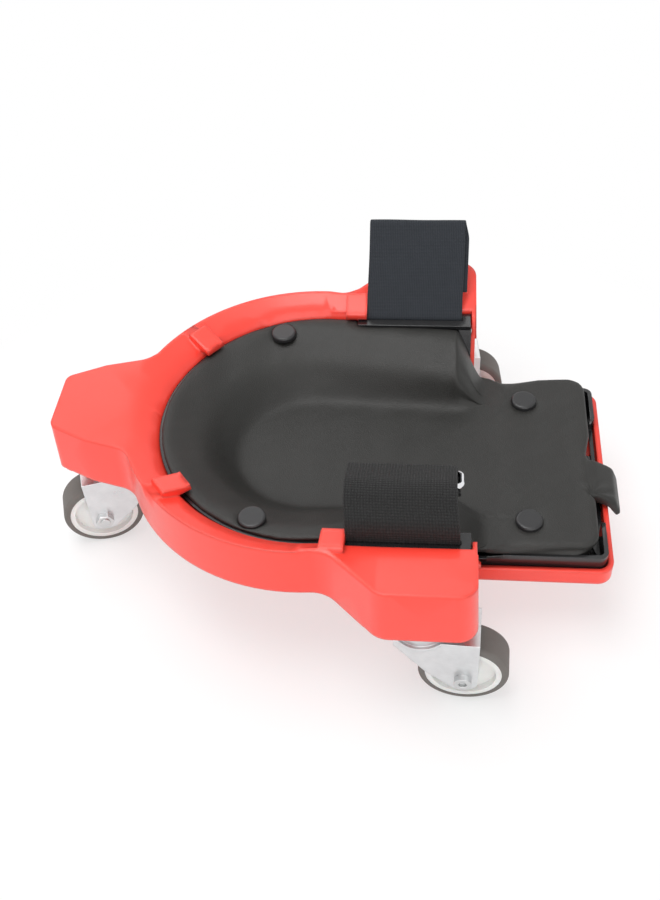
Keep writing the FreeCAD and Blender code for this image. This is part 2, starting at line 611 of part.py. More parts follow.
def knee_pad():
    gap = "-(tray_gap + tray_wall + pad_gap)"
    bottom = f"{TRAY_FLOOR} + pad_gap"
    knee = round_front_loft("PadKnee",
                            well_sections([bottom, "tray_rim + 0.1"], gap, "pad_knee_end"))
    edge = well_at("tray_rim", gap)
    lip = round_front_loft("PadLip", [
        ("tray_rim", "well_centre", f"{edge} + pad_lip", "pad_knee_end", f"{edge} + pad_lip - well_narrowing"),
        ("pad_rim", "well_centre", f"{edge} + pad_lip / 2", "pad_knee_end", f"{edge} - well_narrowing")])
    half = f"{TRAY_HALF} - tray_wall - pad_gap"
    tail_low = rounded_slab("PadTailLow", ("arm_rear + wall + tray_gap + tray_wall + pad_gap", PAD_END), half,
                            (bottom, "tray_tail_rim + 1"), "pad_corner")
    tail_high = rounded_slab("PadTailHigh", ("well_centre", PAD_END), f"{half} + pad_overhang",
                             ("tray_tail_rim", "pad_tail_top"), "pad_corner")
    middle = block("PadMiddle", ("well_centre", f"{PAD_END} - pad_corner"),
                   ("-dish_rear_half", "dish_rear_half"), (bottom, "pad_tail_top"))
    within = fuse("PadRoom", [
        block("BehindKnee", ("well_rear", f"{PAD_END} + 1"), ("-tail_half", "tail_half"),
              (bottom, "pad_tail_top + 1")),
        round_front_loft("PadReach", well_sections([bottom, "tray_rim"], gap, "well_rear"))])
    tail = common("PadTail", [fuse("PadTailAll", [tail_low, tail_high, middle]), within])
    body = doc.addObject("PartDesign::Body", "Tongue")
    root, lap = f"{PAD_END} - pad_corner", "tail_end + tray_gap / 2"
    tip, tip_height = "tail_end + tongue_reach", "tail_rim - tongue_droop"
    profile = draw_outline(new_sketch(body, "TongueProfile", "XZ_Plane", "tongue_aside"), [
        (root, "pad_tail_top - tongue_thick - 1"), (root, "pad_tail_top - 1"),
        (f"{PAD_END} + tongue_thick", "pad_tail_top - 2"),
        (f"{lap} + tongue_thick * 0.6", "tail_rim + tongue_thick"),
        (tip, tip_height), (f"{tip} - tongue_thick * 0.6", f"{tip_height} - tray_gap"),
        (lap, "tail_rim + tray_gap"), (f"{PAD_END} + tongue_thick / 2", "pad_tail_top - tongue_thick - 2")])
    tongue = body.newObject("PartDesign::Pad", "TonguePad")
    tongue.Profile = profile
    tongue.Midplane = True
    bind(tongue, Length="2 * tongue_half")
    doc.recompute()
    solid = fuse("PadSolid", [knee, lip, tail, body])
    dish = round_front_loft("Dish", [
        ("pad_tail_top", "dish_centre", "dish_floor_radius", "well_rear", "dish_rear_half - 4"),
        ("dish_crease", "dish_centre", "dish_radius", "well_rear", "dish_rear_half"),
        ("pad_rim + 0.1", "dish_centre", "well_radius - rim_band", "well_rear",
         "well_radius - 2 * well_narrowing - rim_band")])
    rooms = stem_holes("PadHole", "plug_stem / 2", "pad_tail_top - plug_stem_length - 1", "pad_rim + 1")
    for side, sign in SIDES.items():
        for end, (along, across, seat) in PLUGS.items():
            rooms.append(rod(f"Seat_{end}_{side}", "plug_head / 2 + pad_gap", seat, "pad_rim + 1",
                             along, f"{sign} * {across}"))
        span = [f"{sign} * ({SLOT_PLACE} - hem_thick - tray_wall - pad_gap)", f"{sign} * {FLANGE_REACH}"]
        rooms.append(block(f"FlangeRoom_{side}", ("flange_front - pad_gap", "flange_rear + pad_gap"),
                           span[::sign], ("tray_rim", "pad_rim + 1")))
    return cut("knee_pad", cut("DishedPad", solid, dish), fuse("PadRooms", rooms))


def button(name, along, across, seat):
    """A push-in button: a low rounded head on a stem."""
    body = doc.addObject("PartDesign::Body", name)
    head_sketch = draw_circle(new_sketch(body, name + "Head", lift="plug_head_thick"), "plug_head / 2")
    head = pad_down(body, name + "HeadPad", head_sketch, "plug_head_thick")
    head = round_edges(body, name + "Round", head, "plug_head_thick / 2",
                       lambda edge: level_at(edge, number("plug_head_thick")))
    stem = draw_circle(new_sketch(body, name + "Stem"), "plug_stem / 2")
    pad_down(body, name + "StemPad", stem, "plug_stem_length")
    return place(body, along, across, seat)


def pad_plugs():
    return fuse("pad_plugs", [
        button(f"Plug_{end}_{side}", along, f"{sign} * {across}", seat)
        for end, (along, across, seat) in PLUGS.items() for side, sign in SIDES.items()])


# ---- straps ----

def bent_route(points, radii):
    """A wire of straight runs joined by tangent arcs, one radius for each inner point."""
    edges = []
    start = points[0]
    for before, corner, after, radius in zip(points, points[1:], points[2:], radii):
        back = (before - corner).normalize()
        ahead = (after - corner).normalize()
        half_angle = back.getAngle(ahead) / 2
        reach = radius / math.tan(half_angle)
        inward = (back + ahead).normalize()
        middle = corner + inward * (radius / math.sin(half_angle) - radius)
        first, last = corner + back * reach, corner + ahead * reach
        edges += [Part.LineSegment(start, first).toShape(), Part.Arc(first, middle, last).toShape()]
        start = last
    return Part.Wire(edges + [Part.LineSegment(start, points[-1]).toShape()])


def strap(label, sign, points, radii):
    """A flat band through points given as (distance from the middle plane, height)."""
    front, width, thick = size("strap_front"), size("strap_width"), size("strap_thick")
    route = bent_route([Vector(front, sign * across, height) for across, height in points], radii)
    corner = Vector(front, sign * points[0][0] - thick / 2, points[0][1])
    section = Part.makePolygon([corner, corner + Vector(width, 0, 0), corner + Vector(width, thick, 0),
                                corner + Vector(0, thick, 0), corner])
    band = route.makePipeShell([section], True, False)
    hem = Part.makeBox(width, size("hem_thick"), size("hem_drop") - size("flange_thick") - size("slot_gap"),
                       Vector(front, sign * number(SLOT_PLACE) - size("hem_thick") / 2,
                              size("flange_top") - size("hem_drop")))
    item = doc.addObject("Part::Feature", label)
    item.Shape = band.fuse(hem).removeSplitter()
    return item


def heading(degrees):
    """Unit steps along a slope and square to it, as (across, height) pairs."""
    turn = math.radians(degrees)
    return (math.cos(turn), math.sin(turn)), (-math.sin(turn), math.cos(turn))


def step(start, *moves):
    """A point reached from a start by (direction, distance) moves."""
    return tuple(value + sum(direction[axis] * distance for direction, distance in moves)
                 for axis, value in enumerate(start))


def strap_left():
    """The near strap arches in over the pad and folds back round the wire ring."""
    along, square = heading(size("fold_slope"))
    layer = (size("ring_wire") + size("strap_thick")) / 2 + size("slot_gap")
    bar = (number(SLOT_PLACE) - size("fold_run"), size("fold_height"))
    length = size("fold_length")
    root = number(SLOT_PLACE)
    points = [(root, size("flange_top") - size("hem_drop")), (root, size("strap_rise")),
              step(bar, (square, layer), (along, length + layer)), step(bar, (square, layer), (along, -layer)),
              step(bar, (square, -layer), (along, -layer)), step(bar, (square, -layer), (along, length))]
    bends = [size("strap_root_bend"), size("strap_crest_bend"), layer * 0.98, layer * 0.98]
    return strap("strap_left", -1, points, bends)


def strap_right():
    """The far strap leans outwards and folds back behind itself."""
    along, square = heading(size("strap_lean"))
    layer = size("strap_thick") * 0.8
    root = (number(SLOT_PLACE), size("flange_top") + size("slot_gap"))
    crest = step(root, (along, size("strap_stand")))
    behind = step(crest, (square, -2 * layer))
    points = [(root[0], size("flange_top") - size("hem_drop")), root, crest, behind,
              step(behind, (along, -size("strap_back")))]
    return strap("strap_right", 1, points, [size("strap_lean_bend"), layer * 0.98, layer * 0.98])


def strap_ring():
    """The rectangular wire ring in the left strap's fold."""
    along, _ = heading(size("fold_slope"))
    bar = (number(SLOT_PLACE) - size("fold_run"), size("fold_height"))
    far = step(bar, (along, size("ring_depth") - size("ring_wire")))
    front = size("strap_front") + size("ring_wire")
    rear = front + size("ring_length")
    middle = (front + rear) / 2
    corners = [Vector(middle, -bar[0], bar[1]), Vector(front, -bar[0], bar[1]), Vector(front, -far[0], far[1]),
               Vector(rear, -far[0], far[1]), Vector(rear, -bar[0], bar[1]), Vector(middle, -bar[0], bar[1])]
    route = bent_route(corners, [size("ring_bend")] * 4)
    profile = Part.Wire(Part.makeCircle(size("ring_wire") / 2, corners[0], Vector(1, 0, 0)))
    item = doc.addObject("Part::Feature", "strap_ring")
    item.Shape = route.makePipeShell([profile], True, False)
    return item


# ---- casters ----

CASTERS = {
    "nose": ("nose_axis", "0", "nose_swivel"),
    "left": ("side_axis", "-(arm_reach - side_axis_inset)", "left_swivel"),
    "right": ("side_axis", "(arm_reach - side_axis_inset)", "right_swivel"),
}
PLATE_LOW = "(mount_face - plate_thick)"
BALL_HEIGHT = "(mount_face - plate_thick - 1.8 * ball_radius)"
CROWN_TOP = "(mount_face - plate_thick - 4 * ball_radius)"
CROWN_LOW = f"({CROWN_TOP} - sheet_thick)"
HALF_GAP = "(wheel_width / 2 + side_play)"
RACE_REACH = "(ball_circle + 2 * ball_radius)"


def raceway(name, play="race_play"):
    """The ring-shaped groove that the balls roll in."""
    groove = doc.addObject("Part::Torus", name)
    bind(groove, Radius1="ball_circle", Radius2=f"ball_radius + {play}")
    return place(groove, height=BALL_HEIGHT)


def caster_plate(name, along, across):
    plate = block(name + "PlateSheet", ("-plate_length / 2", "plate_length / 2"),
                  ("-plate_width / 2", "plate_width / 2"), (PLATE_LOW, "mount_face"))
    cup = doc.addObject("Part::Cone", name + "Cup")
    bind(cup, Radius1=f"{RACE_REACH} + ball_radius / 2", Radius2=RACE_REACH,
         Height=f"mount_face - plate_thick / 2 - {BALL_HEIGHT} - ball_radius / 4")
    place(cup, height=f"{BALL_HEIGHT} + ball_radius / 4")
    holes = [rod(name + "Hole", "screw_radius", f"{PLATE_LOW} - 1", "mount_face + 1", x, y)
             for x, y in screw_places()]
    holes += [raceway(name + "UpperRace"),
              rod(name + "PinHole", "pin_radius", f"{CROWN_LOW}", "mount_face + 1"),
              rod(name + "CupRelief", "ball_circle - ball_radius * 1.5", f"{CROWN_LOW}", PLATE_LOW)]
    return place(cut(name + "_plate", fuse(name + "PlateSolid", [plate, cup]), fuse(name + "PlateHoles", holes)),
                 along, across)


def plate_screws(name, along, across):
    screws = []
    for x, y in screw_places():
        screws += [rod(name + "Shank", "screw_radius", PLATE_LOW, "mount_face + screw_length - 1", x, y),
                   rod(name + "Head", "screw_head", f"{PLATE_LOW} - screw_head_thick", PLATE_LOW, x, y)]
    return place(fuse(name + "_screws", screws), along, across)


def swivel_pin(name, along, across):
    """The rivet that holds fork and plate together."""
    shank = rod(name + "PinShank", "pin_radius", f"{CROWN_LOW} - 0.1", "mount_face")
    head = rod(name + "PinHead", "pin_radius * 1.8", f"{CROWN_LOW} - 0.1 - sheet_thick", f"{CROWN_LOW} - 0.1")
    return place(fuse(name + "_pin", [shank, head]), along, across)


def swivel_balls(name, along, across):
    """Balls spaced round the raceway, as many as fit with a little room between them."""
    pitch = size("ball_circle")
    count = int(math.pi / math.asin(size("ball_radius") * 1.12 / pitch))
    balls = []
    for index in range(count):
        turn = 2 * math.pi * index / count
        ball = doc.addObject("Part::Sphere", name + "Ball")
        bind(ball, Radius="ball_radius")
        balls.append(place(ball, f"ball_circle * {math.cos(turn):.9f}", f"ball_circle * {math.sin(turn):.9f}",
                           BALL_HEIGHT))
    return place(fuse(name + "_balls", balls), along, across)


def leg_profile(sketch):
    """A fork leg seen from the side: an upright rear edge, a foot and a hollow raked front edge."""
    foot, rear = "wheel_radius - leg_foot", "trail + leg_rear"
    return draw_outline(sketch, [("-leg_front", f"{CROWN_LOW} - sheet_thick"), ("-leg_front", CROWN_TOP),
                                 (rear, CROWN_TOP), (rear, foot), ("leg_toe", foot),
                                 ("leg_waist", "leg_waist_height")])


def fork(name, along, across, turn):
    """Two raked legs under a crown that carries the lower race."""
    body = doc.addObject("PartDesign::Body", name + "ForkBody")
    legs = body.newObject("PartDesign::Pad", name + "Legs")
    legs.Profile = leg_profile(new_sketch(body, name + "LegOutline", "XZ_Plane"))
    legs.Midplane = True
    bind(legs, Length=f"2 * ({HALF_GAP} + sheet_thick)")
    doc.recompute()
    low = number("wheel_radius - leg_foot")
    feet = round_edges(body, name + "Feet", legs, "leg_corner", lambda edge: level_at(edge, low)
                       and edge.BoundBox.YLength > 1 and edge.BoundBox.XLength < 1)
    bend = number("leg_waist_height")
    round_edges(body, name + "Waists", feet, "3 * leg_corner", lambda edge: level_at(edge, bend))
    crown = rod(name + "Crown", "crown_radius", CROWN_LOW, CROWN_TOP)
    race = rod(name + "LowerRace", RACE_REACH, CROWN_TOP, f"{BALL_HEIGHT} - ball_radius / 4")
    between = block(name + "Between", ("-2 * trail", "3 * trail"), (f"-{HALF_GAP}", HALF_GAP), ("0", CROWN_LOW))
    bores = [raceway(name + "LowerGroove"),
             rod(name + "ForkBore", "pin_radius + running_gap", "0", "mount_face"),
             rod(name + "RaceRelief", "ball_circle - ball_radius * 1.5", CROWN_TOP, "mount_face"),
             cross_rod(name + "LegHoles", "axle_radius", f"-{HALF_GAP} - 2 * sheet_thick",
                       f"{HALF_GAP} + 2 * sheet_thick", "trail", "wheel_radius")]
    legs_apart = cut(name + "LegsApart", body, between)
    solid = fuse(name + "ForkSolid", [legs_apart, crown, race])
    return place(cut(name + "_fork", solid, fuse(name + "ForkBores", bores)), along, across, "0", turn)


def on_axle(item, along, across, turn):
    """Place a piece modelled round the Y axis onto a caster's axle."""
    return place(item, f"{along} + trail * cos({turn} * 1 deg)", f"{across} + trail * sin({turn} * 1 deg)",
                 "wheel_radius", turn)


def axle_pieces(name, along, across, turn):
    """Axle bolt, its nut and the sleeve between the legs that the wheel turns on."""
    outside = f"({HALF_GAP} + sheet_thick)"
    shank = cross_rod(name + "AxleShank", "axle_radius", f"-{outside}", f"{outside} + axle_head_thick + axle_stub")
    head = cross_rod(name + "AxleHead", "axle_head", f"-{outside} - axle_head_thick", f"-{outside}")
    socket = doc.addObject("Part::Prism", name + "AxleSocket")
    bind(socket, Circumradius="axle_radius * 0.85", Height="axle_head_thick * 0.6")
    socket.Placement = FreeCAD.Placement(Vector(), Vector(1, 0, 0), -90)
    place(socket, "0", f"-{outside} - axle_head_thick")
    bolt = cut(name + "_axle", fuse(name + "AxleSolid", [shank, head]), socket)
    nut_body = doc.addObject("Part::Prism", name + "NutBody")
    bind(nut_body, Circumradius="axle_head * 1.15", Height="axle_head_thick")
    nut_body.Placement = FreeCAD.Placement(Vector(), Vector(1, 0, 0), -90)
    place(nut_body, "0", outside)
    nut = cut(name + "_nut", nut_body, cross_rod(name + "NutBore", "axle_radius", "0", f"2 * {outside}"))
    sleeve = cut(name + "_sleeve", cross_rod(name + "SleeveBody", "sleeve_radius", f"-{HALF_GAP}", HALF_GAP),
                 cross_rod(name + "SleeveBore", "axle_radius", f"-2 * {HALF_GAP}", f"2 * {HALF_GAP}"))
    return [on_axle(item, along, across, turn) for item in (bolt, nut, sleeve)]


def turned(name, corners):
    """A body turned round the Y axis from an outline of (radius, across) corners."""
    body = doc.addObject("PartDesign::Body", name)
    sketch = draw_outline(new_sketch(body, name + "Outline"), corners)
    doc.recompute()
    turning = body.newObject("PartDesign::Revolution", name + "Turning")
    turning.Profile = sketch
    turning.ReferenceAxis = (sketch, ["V_Axis"])
    doc.recompute()
    return body, turning


def wheel(name, along, across, turn):
    """A moulded hub with a recessed web, and the tyre round it."""
    rim = "(wheel_radius - tread_thick)"
    bore = "(sleeve_radius + running_gap)"
    boss, web, flange = f"({HALF_GAP} - running_gap)", "(wheel_width * 0.3)", "(wheel_width / 2 - hub_recess)"
    half = [(bore, boss), (f"{bore} + hub_boss", boss), (f"{bore} + hub_boss * 1.15", web),
            (f"{rim} - hub_rim * 1.15", web), (f"{rim} - hub_rim", flange), (rim, flange)]
    hub, _ = turned(name + "Hub", [(radius, f"-{across}") for radius, across in half] + half[::-1])
    hub.Label = name + "_hub"
    edge = "(wheel_width / 2)"
    tyre, turning = turned(name + "Tyre", [(rim, f"-{edge}"), ("wheel_radius", f"-{edge}"),
                                           ("wheel_radius", edge), (rim, edge)])
    reach = number("wheel_radius")
    round_edges(tyre, name + "Shoulders", turning, "tyre_round",
                lambda item: abs(item.BoundBox.ZMax - reach) < 0.01 and item.BoundBox.YLength < 0.01)
    tyre.Label = name + "_tyre"
    return [on_axle(item, along, across, turn) for item in (hub, tyre)]


def caster(name, along, across, turn):
    fixed = [piece(name, along, across) for piece in (caster_plate, plate_screws, swivel_pin, swivel_balls)]
    return fixed + [fork(name, along, across, turn)] + axle_pieces(name, along, across, turn) + wheel(
        name, along, across, turn)


# ---- the whole creeper ----

NODES = [base_shell(), knee_tray(), knee_pad(), pad_plugs(), strap_left(), strap_right(), strap_ring()]
for caster_name, spot in CASTERS.items():
    NODES += caster(caster_name, *spot)
doc.recompute()

failed = [item.Name for item in doc.Objects if {"Invalid", "Error"} & set(item.State)]
failed += [node.Label for node in NODES if node.Shape.isNull() or not node.Shape.isValid()]
if failed:
    raise RuntimeError("not built: " + ", ".join(failed))
os.makedirs("parts", exist_ok=True)
for node in NODES:
    node.Shape.exportStep(f"parts/{node.Label}.step")
    print(node.Label, len(node.Shape.Solids), round(node.Shape.Volume))
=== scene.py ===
import math

import bmesh
import bpy
import numpy as np
from mathutils import Matrix, Vector

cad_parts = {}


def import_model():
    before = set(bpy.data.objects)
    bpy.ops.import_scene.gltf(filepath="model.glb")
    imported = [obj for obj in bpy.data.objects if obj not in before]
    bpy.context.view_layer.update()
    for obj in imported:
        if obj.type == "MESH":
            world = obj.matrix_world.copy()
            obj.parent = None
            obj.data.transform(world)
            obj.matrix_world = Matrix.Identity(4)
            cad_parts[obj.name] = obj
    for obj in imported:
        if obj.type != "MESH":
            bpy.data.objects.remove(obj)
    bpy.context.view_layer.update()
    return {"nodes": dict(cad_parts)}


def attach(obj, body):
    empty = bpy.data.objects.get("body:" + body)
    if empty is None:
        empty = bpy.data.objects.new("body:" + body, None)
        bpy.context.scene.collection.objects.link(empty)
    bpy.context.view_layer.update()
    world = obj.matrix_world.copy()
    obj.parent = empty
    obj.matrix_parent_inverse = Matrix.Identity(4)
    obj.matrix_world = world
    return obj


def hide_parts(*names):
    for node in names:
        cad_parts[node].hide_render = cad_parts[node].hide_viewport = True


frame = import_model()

# A rolling knee creeper: a red moulded base on three swivel casters, a black tray with a foam
# knee pad, and two hook-and-loop straps.  +X points towards the shin, +Z is up, metres.

MM = 0.001
NODES = frame["nodes"]
CASTERS = ("nose", "left", "right")


# ---- shader maths: a socket with Python's operators ----

EDGE_CONTRAST = 6.0      # how fast the edge share reaches full strength


class Value:
    """One output socket of a material; an operator on it adds a Math node."""

    def __init__(self, finish, socket):
        self.finish = finish
        self.socket = socket

    def _math(self, operation, *terms, **extra):
        settings = dict(operation=operation, **extra)
        return self.finish.node("ShaderNodeMath", settings, dict(enumerate(terms)))

    def __add__(self, other):
        return self._math("ADD", self, other)

    __radd__ = __add__

    def __sub__(self, other):
        return self._math("SUBTRACT", self, other)

    def __rsub__(self, other):
        return self._math("SUBTRACT", other, self)

    def __mul__(self, other):
        return self._math("MULTIPLY", self, other)

    __rmul__ = __mul__

    def __pow__(self, other):
        return self._math("POWER", self, other)

    def minimum(self, other):
        return self._math("MINIMUM", self, other)

    def maximum(self, other):
        return self._math("MAXIMUM", self, other)

    def sine(self):
        return self._math("SINE", self)

    def clamped(self):
        return self._math("ADD", self, 0.0, use_clamp=True)


class Finish:
    """A material under construction: its nodes, and the shader that they feed."""

    def __init__(self, name, **sockets):
        self.material = bpy.data.materials.new(name)
        self.material.use_nodes = True
        self.tree = self.material.node_tree
        self.shader = self.tree.nodes["Principled BSDF"]
        for socket, value in sockets.items():
            self.shader.inputs[socket.replace("_", " ")].default_value = value

    def node(self, kind, settings=None, inputs=None, output=0):
        """Adds a node, sets it, then gives its sockets their values or links."""
        item = self.tree.nodes.new(kind)
        for name, value in (settings or {}).items():
            setattr(item, name, value)
        for name, value in (inputs or {}).items():
            self.give(item.inputs[name], value)
        return Value(self, item.outputs[output])

    def give(self, socket, value):
        if isinstance(value, Value):
            self.tree.links.new(value.socket, socket)
        else:
            socket.default_value = value

    def place(self, scale=(1, 1, 1), source="Object"):
        """Coordinates of the piece, scaled."""
        where = self.node("ShaderNodeTexCoord", output=source)
        return self.node("ShaderNodeMapping", None, {"Vector": where, "Scale": scale})

    def noise(self, scale, detail=3.0, roughness=0.5, where=None):
        inputs = {"Vector": where or self.place(), "Scale": scale, "Detail": detail,
                  "Roughness": roughness}
        return self.node("ShaderNodeTexNoise", None, inputs, "Fac")

    def cells(self, scale, feature="F1"):
        inputs = {"Vector": self.place(), "Scale": scale}
        return self.node("ShaderNodeTexVoronoi", {"feature": feature}, inputs, "Distance")

    def axis(self, name, where):
        return self.node("ShaderNodeSeparateXYZ", None, {"Vector": where}, name)

    def blend(self, share, low, high):
        """A colour between two by a share."""
        return self.node("ShaderNodeMix", {"data_type": "RGBA"}, {0: share, 6: low, 7: high}, 2)

    def edge_share(self, radius):
        """Up to 1 along edges and 0 on flats: how far a rounded normal leans off the plain one."""
        bevel = self.node("ShaderNodeBevel", {"samples": 4}, {"Radius": radius})
        flat = self.node("ShaderNodeNewGeometry", output="Normal")
        dot = {"operation": "DOT_PRODUCT"}
        same = self.node("ShaderNodeVectorMath", dot, {0: bevel, 1: flat}, "Value")
        return ((1.0 - same) * EDGE_CONTRAST).clamped()

    def surface(self, colour=None, rough=None, bumps=(), metal=None, round_edges=0.0):
        """Feeds the shader.  Bumps are (height, distance in metres), each laid over the one before
        and the first over the rounded edges."""
        if colour is not None:
            self.give(self.shader.inputs["Base Color"], colour)
        if rough is not None:
            self.give(self.shader.inputs["Roughness"], rough)
        if metal is not None:
            self.give(self.shader.inputs["Metallic"], metal)
        normal = None
        if round_edges:
            normal = self.node("ShaderNodeBevel", {"samples": 8}, {"Radius": round_edges})
        for height, distance in bumps:
            inputs = {"Height": height, "Distance": distance, "Strength": 1.0}
            if normal is not None:
                inputs["Normal"] = normal
            normal = self.node("ShaderNodeBump", None, inputs)
        if normal is not None:
            self.give(self.shader.inputs["Normal"], normal)
        return self.material


def rgb(red, green, blue):
    return (red, green, blue, 1.0)


def moulded_red():
    """Red polypropylene: fine eroded grain, faint flow shading, and a painted highlight that makes its edges
    paler.
    """
    red = Finish("MouldedRed", Coat_Weight=0.15, Coat_Roughness=0.12, Specular_IOR_Level=0.5)
    flow = red.noise(14, 2)
    grain = red.noise(2600, 2, 0.6)
    scuff = red.noise(90, 5, 0.7)
    # Painted highlight along the edges: this share mixes up to 0.30 of a paler red into the plain colour.
    edge = red.edge_share(0.0016)
    plain = red.blend(flow, rgb(0.94, 0.050, 0.030), rgb(0.98, 0.064, 0.042))
    # the paler red is the colour of the painted edge highlight
    colour = red.blend(edge * 0.30, plain, rgb(1.0, 0.17, 0.13))
    return red.surface(colour, 0.25 + 0.10 * scuff + 0.05 * grain, [(grain, 0.00005)], round_edges=0.0028)


def moulded_black():
    """Glossy black tray: deep gloss with faint dust and ripple."""
    black = Finish("MouldedBlack", Coat_Weight=0.3, Coat_Roughness=0.08)
    dust = black.noise(60, 5, 0.65)
    ripple = black.noise(35, 1)
    colour = black.blend(dust, rgb(0.008, 0.008, 0.009), rgb(0.016, 0.016, 0.017))
    return black.surface(colour, 0.16 + 0.14 * dust, [(ripple, 0.00025)], round_edges=0.0008)


def foam_skin():
    """Moulded foam skin: closed pores and fine leather creases over a soft warm black."""
    foam = Finish("FoamSkin", Specular_IOR_Level=0.38)
    cloud = foam.noise(22, 4)
    creases = foam.cells(900, "DISTANCE_TO_EDGE")
    pores = foam.cells(1500)
    fine = foam.noise(3200, 2)
    colour = foam.blend(cloud, rgb(0.014, 0.014, 0.0125), rgb(0.024, 0.023, 0.021))
    rough = 0.36 + 0.12 * cloud + 0.06 * fine
    return foam.surface(colour, rough, [(creases.minimum(0.12), 0.0004), (pores, 0.00008), (fine, 0.00004)])


def satin_black():
    """Satin nylon push rivets."""
    nylon = Finish("SatinBlack", Coat_Weight=0.1)
    fine = nylon.noise(1800, 2)
    colour = nylon.blend(fine, rgb(0.011, 0.011, 0.012), rgb(0.019, 0.019, 0.020))
    return nylon.surface(colour, 0.36 + 0.12 * fine, [(fine, 0.00004)], round_edges=0.0006)


def webbing(name, dark, pale, across, along, lift, pile):
    """Woven strap read from its own UV map in metres, u across and v along: across and along are
    the pitches of its threads, lift and pile the heights of its weave and of its fuzz."""
    cloth = Finish(name, Sheen_Weight=0.1, Sheen_Roughness=0.45, Specular_IOR_Level=0.3)
    where = cloth.place(source="UV")
    u = cloth.axis("X", where)
    v = cloth.axis("Y", where)
    warp = ((u * (2 * math.pi / across)).sine() * 0.5 + 0.5) ** 0.6
    weft = (v * (2 * math.pi / along)).sine() * 0.5 + 0.5
    weave = warp * (0.55 + 0.45 * weft)
    fuzz = cloth.noise(1600, 3, 0.7)
    clumps = cloth.noise(160, 4, 0.6)
    colour = cloth.blend((weave * 0.6 + clumps * 0.4).clamped(), dark, pale)
    return cloth.surface(colour, 0.80 - 0.15 * weave, [(weave, lift), (fuzz, pile)])


def plated_zinc(name, tint, brushed=0.0):
    """Bright zinc on pressed sheet: cloudy spangle, draw marks and paler edges."""
    zinc = Finish(name, Metallic=1.0)
    cloud = zinc.noise(120, 4, 0.6)
    marks = zinc.noise(400, 3, 0.6, zinc.place((1, 1, 14)))
    edge = zinc.edge_share(0.0006)
    low = tuple(0.72 * part for part in tint) + (1.0,)
    high = tuple(tint) + (1.0,)
    colour = zinc.blend((cloud + edge * 0.4).clamped(), low, high)
    return zinc.surface(colour, 0.22 + 0.16 * cloud + brushed, [(marks, 0.00003), (cloud, 0.00006)],
                        round_edges=0.0007)


def polished(name, tint, rough):
    """Bright plated wire or ball with faint swirl marks."""
    metal = Finish(name, Metallic=1.0)
    swirl = metal.noise(700, 4, 0.7)
    low = tuple(0.86 * part for part in tint) + (1.0,)
    colour = metal.blend(swirl, low, tuple(tint) + (1.0,))
    return metal.surface(colour, rough + 0.08 * swirl, [(swirl, 0.00001)])


def white_nylon():
    """White hub: faint shading and fine grain."""
    nylon = Finish("WhiteNylon", Subsurface_Weight=0.1, Subsurface_Scale=0.002)
    cloud = nylon.noise(80, 3)
    fine = nylon.noise(2400, 2)
    colour = nylon.blend(cloud, rgb(0.74, 0.74, 0.72), rgb(0.84, 0.84, 0.82))
    return nylon.surface(colour, 0.36 + 0.12 * fine, [(fine, 0.00004)])


def grey_rubber():
    """Grey rubber: matt bloom, scuffs and fine moulding grain."""
    rubber = Finish("GreyRubber", Specular_IOR_Level=0.4)
    bloom = rubber.noise(70, 5, 0.65)
    fine = rubber.noise(2200, 3, 0.6)
    colour = rubber.blend(bloom, rgb(0.125, 0.113, 0.103), rgb(0.185, 0.170, 0.158))
    return rubber.surface(colour, 0.58 + 0.2 * bloom, [(fine, 0.0001)])


RED = moulded_red()
BLACK = moulded_black()
FOAM = foam_skin()
NYLON = satin_black()
HOOK_WEB = webbing("HookWebbing", rgb(0.004, 0.004, 0.004), rgb(0.019, 0.019, 0.019),
                   across=0.0016, along=0.0016, lift=0.0006, pile=0.0006)
LOOP_WEB = webbing("LoopWebbing", rgb(0.010, 0.013, 0.017), rgb(0.027, 0.031, 0.039),
                   across=0.0011, along=0.0009, lift=0.00018, pile=0.0001)
ZINC = plated_zinc("PlatedZinc", (0.80, 0.81, 0.82))
SCREW = plated_zinc("ScrewZinc", (0.74, 0.75, 0.75), 0.05)
WIRE = polished("PlatedWire", (0.86, 0.86, 0.88), 0.10)
BALLS = polished("BallSteel", (0.80, 0.80, 0.80), 0.08)
HUB = white_nylon()
RUBBER = grey_rubber()

FINISHES = {"base_shell": RED, "knee_tray": BLACK, "pad_plugs": NYLON, "strap_ring": WIRE}
for caster in CASTERS:
    FINISHES.update({f"{caster}_plate": ZINC, f"{caster}_fork": ZINC, f"{caster}_screws": SCREW,
                     f"{caster}_pin": SCREW, f"{caster}_axle": SCREW, f"{caster}_nut": SCREW,
                     f"{caster}_sleeve": SCREW, f"{caster}_balls": BALLS, f"{caster}_hub": HUB,
                     f"{caster}_tyre": RUBBER})
for node, finish in FINISHES.items():
    for piece_slot in NODES[node].material_slots:
        piece_slot.material = finish


# ---- meshes ----

def show(name, mesh, finish, body="base"):
    """Puts a mesh into the scene as a piece of one finish that rides on a body."""
    piece = bpy.data.objects.new(name, mesh)
    bpy.context.scene.collection.objects.link(piece)
    mesh.materials.clear()
    mesh.materials.append(finish)
    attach(piece, body)
    return piece


def apply_modifiers(piece):
    """Puts what the piece's modifiers make into its own mesh."""
    bpy.context.view_layer.update()
    shaped = piece.evaluated_get(bpy.context.evaluated_depsgraph_get())
    mesh = bpy.data.meshes.new_from_object(shaped)
    piece.modifiers.clear()
    piece.data = mesh


def points_of(mesh):
    """A mesh's points as rows of x, y and z."""
    flat = np.empty(3 * len(mesh.vertices))
    mesh.vertices.foreach_get("co", flat)
    return flat.reshape(-1, 3)


def merged_copy(node):
    """The node's triangles with their shared corners joined."""
    bpy.context.view_layer.update()
    mesh = NODES[node].data.copy()
    work = bmesh.new()
    work.from_mesh(mesh)
    bmesh.ops.remove_doubles(work, verts=work.verts, dist=1e-5)
    work.to_mesh(mesh)
    work.free()
    return mesh


